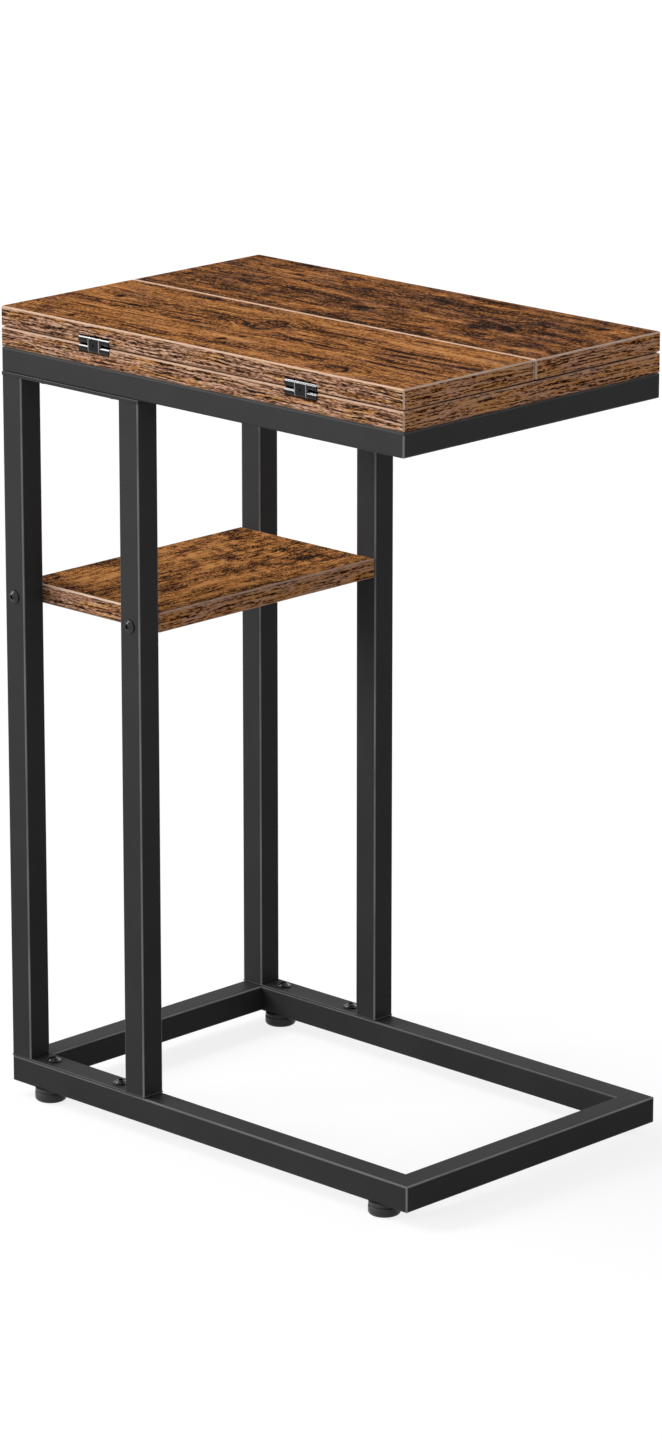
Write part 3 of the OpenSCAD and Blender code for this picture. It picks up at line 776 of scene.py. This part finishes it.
def turned(name, profile, centre, sides=72):
    """A solid of revolution, whose profile of (radius, height) points starts and ends on the axis.

    Point j of ring i stands at the i-th radius and height, j sides of a full turn round the axis
    at centre."""
    angles = np.arange(sides) * (math.tau / sides)
    radii, heights = profile[1:-1, :1], profile[1:-1, 1:]
    rings = np.stack([radii * np.cos(angles), radii * np.sin(angles), heights + 0 * angles], 2)
    ends = np.array([[0.0, 0.0, profile[0, 1]], [0.0, 0.0, profile[-1, 1]]])
    points = np.concatenate([rings.reshape(-1, 3), ends]) + centre

    ring, side = np.meshgrid(np.arange(len(radii) - 1), np.arange(sides), indexing="ij")
    here, beside = ring * sides + side, ring * sides + (side + 1) % sides
    quads = np.stack([here, beside, beside + sides, here + sides], 2).reshape(-1, 4)
    around, after = np.arange(sides), (np.arange(sides) + 1) % sides
    last = (len(radii) - 1) * sides
    low_pole, high_pole = len(points) - 2, len(points) - 1
    bottom = np.stack([0 * around + low_pole, after, around], 1)
    top = np.stack([0 * around + high_pole, last + around, last + after], 1)

    mesh = bpy.data.meshes.new(name)
    mesh.from_pydata((points * MM).tolist(), [], quads.tolist() + bottom.tolist() + top.tolist())
    mesh.shade_smooth()
    mesh.set_sharp_from_angle(angle=math.radians(40))
    piece = bpy.data.objects.new(name, mesh)
    bpy.context.scene.collection.objects.link(piece)
    return piece


def make_feet(finish):
    """Levelling pads turned on a lathe: a round foot, a groove, a collar and the stud's pocket."""
    bodies = frame["record"]["behaviour"]["bodies"]
    for end in ("front_left", "front_right", "back_left", "back_right"):
        node = f"foot_pad_{end}"
        low, high = [Vector(corner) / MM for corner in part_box(node)]
        radius, height = (high.x - low.x) / 2, high.z - low.z
        groove = radius - GROOVE_DEPTH
        collar = radius - COLLAR_SETBACK - COLLAR_ROUND
        profile = np.concatenate([
            [(0.0, 0.0), (radius - FOOT_ROUND, 0.0)],
            arc(radius - FOOT_ROUND, FOOT_ROUND, FOOT_ROUND, -84, 0),
            arc(radius - RIM_ROUND, height - RIM_DROP, RIM_ROUND, 0, 78, 5),
            [(groove, height - drop) for drop in GROOVE_DROP],
            arc(collar, height - COLLAR_DROP, COLLAR_ROUND, -60, 0, 4),
            arc(collar, height - COLLAR_TOP_DROP, COLLAR_ROUND, 10, 90, 5),
            [(groove, height), (STUD_HOLE, height), (STUD_HOLE, POCKET_HIGH)],
            [(POCKET_RADIUS, POCKET_HIGH), (POCKET_RADIUS, POCKET_LOW), (0.0, POCKET_LOW)],
        ])
        centre = ((low.x + high.x) / 2, (low.y + high.y) / 2, low.z)
        pad = turned(f"turned_pad_{end}", profile, centre)
        pad.data.materials.append(finish)
        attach(pad, next(body for body, nodes in bodies.items() if node in nodes))
        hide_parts(node)


# The floor's half width in metres, its own light, and the share of that light in what is seen
FLOOR_HALF = 40.0
FLOOR_GLOW = 1.17
GLOW_SHARE = 0.7

# The white surround: how much of its light falls on the table
SURROUND_LIGHT = 0.28


def stage_floor():
    """A wide pale floor, white but for the table's soft shadow, and see-through from below."""
    half = FLOOR_HALF
    corners = [(-half, -half, 0.0), (half, -half, 0.0), (half, half, 0.0), (-half, half, 0.0)]
    mesh = bpy.data.meshes.new("floor")
    mesh.from_pydata(corners, [], [(0, 1, 2, 3)])
    floor = bpy.data.objects.new("floor", mesh)
    bpy.context.scene.collection.objects.link(floor)

    finish = Finish(bpy.data.materials.new("floor"))
    seen = rays_that_show(finish)
    grain = finish.noise(finish.place(), (30, 30, 30), 2.0)
    tint = finish.mix(0.5 + grain, srgb(150, 150, 150), srgb(156, 156, 156))
    colour = finish.mix(seen, tint, srgb(236, 236, 236))
    paint = finish.add("ShaderNodeBsdfDiffuse", None, {"Color": colour})
    glow = finish.add("ShaderNodeEmission", None, {"Color": WHITE, "Strength": FLOOR_GLOW})
    lit = finish.add("ShaderNodeMixShader", None, {0: seen * GLOW_SHARE, 1: paint, 2: glow})
    clear = finish.add("ShaderNodeBsdfTransparent")
    below = finish.add("ShaderNodeNewGeometry", output="Backfacing")
    shown = finish.add("ShaderNodeMixShader", None, {0: below, 1: lit, 2: clear})
    finish.add("ShaderNodeOutputMaterial", None, {"Surface": shown})
    mesh.materials.append(finish.holder)


def rays_that_show(finish):
    """1 for the rays that make a picture: from the camera, or by way of gloss or glass."""
    rays = [
        finish.add("ShaderNodeLightPath", output=name)
        for name in ("Is Camera Ray", "Is Glossy Ray", "Is Transmission Ray")
    ]
    return rays[0].math("MAXIMUM", rays[1]).math("MAXIMUM", rays[2])


def softbox(name, towards, reach, width, length, strength):
    """A thin lamp that stands across the X axis, reach metres off in the direction towards."""
    lamp = bpy.data.lights.new(name, "AREA")
    lamp.shape = "RECTANGLE"
    lamp.size = width
    lamp.size_y = length
    lamp.energy = strength * math.pi * width * length
    obj = bpy.data.objects.new(name, lamp)
    back = Vector(towards).normalized()
    up = Vector((0.0, -back.z, back.y)).normalized()
    up = up if up.z > 0 else -up
    axes = Matrix((up.cross(back), up, back)).transposed()
    obj.matrix_world = Matrix.Translation(reach * back) @ axes.to_4x4()
    obj.visible_camera = False
    bpy.context.scene.collection.objects.link(obj)


def sun(name, towards, strength, spread):
    """A soft distant lamp that shines from the direction towards, with its spread in degrees."""
    lamp = bpy.data.lights.new(name, "SUN")
    lamp.energy = strength
    lamp.angle = math.radians(spread)
    obj = bpy.data.objects.new(name, lamp)
    length = math.sqrt(sum(value * value for value in towards))
    x, y, z = [value / length for value in towards]
    obj.rotation_euler = (math.acos(z), 0.0, math.atan2(x, -y) if (x or y) else 0.0)
    bpy.context.scene.collection.objects.link(obj)


def light_the_stage():
    """A white surround that lights softly, a tall softbox at the upper left, and low fills."""
    world = bpy.data.worlds.new("surround")
    bpy.context.scene.world = world
    finish = Finish(world)
    seen = rays_that_show(finish)
    strength = SURROUND_LIGHT + seen * (1.0 - SURROUND_LIGHT)
    glow = finish.add("ShaderNodeBackground", None, {"Color": WHITE, "Strength": strength})
    finish.add("ShaderNodeOutputWorld", None, {"Surface": glow})
    key = (-0.697, -0.411, 0.587)
    softbox("key", towards=key, reach=30.0, width=1.6, length=38.0, strength=43.0)
    sun("front_fill", towards=(-0.30, -0.93, 0.20), strength=0.75, spread=30)
    sun("right_fill", towards=(0.85, -0.35, 0.40), strength=0.17, spread=50)
    sun("low_back", towards=(-0.1, 0.95, 0.2), strength=0.5, spread=30)


# The camera stands where the photograph was taken from, off the front right corner
CAMERA_TURN = 44.15
CAMERA_RISE = 15.85
CAMERA_REACH = 4.60
CAMERA_LENS = 144
CAMERA_TARGET = (0.001, 0.0, 0.3335)


def set_camera():
    """Looks at the middle of the table from CAMERA_TURN degrees right of its front."""
    turn = math.radians(CAMERA_TURN)
    rise = math.radians(CAMERA_RISE)
    camera = bpy.data.cameras.new("camera")
    camera.lens = CAMERA_LENS
    camera.clip_end = 200
    obj = bpy.data.objects.new("camera", camera)
    obj.location = (
        CAMERA_TARGET[0] + CAMERA_REACH * math.sin(turn) * math.cos(rise),
        CAMERA_TARGET[1] - CAMERA_REACH * math.cos(turn) * math.cos(rise),
        CAMERA_TARGET[2] + CAMERA_REACH * math.sin(rise),
    )
    obj.rotation_euler = (math.pi / 2 - rise, 0.0, turn)
    bpy.context.scene.collection.objects.link(obj)
    bpy.context.scene.camera = obj


bpy.context.scene.view_settings.view_transform = "Standard"
set_camera()
stage_floor()
light_the_stage()
dress()
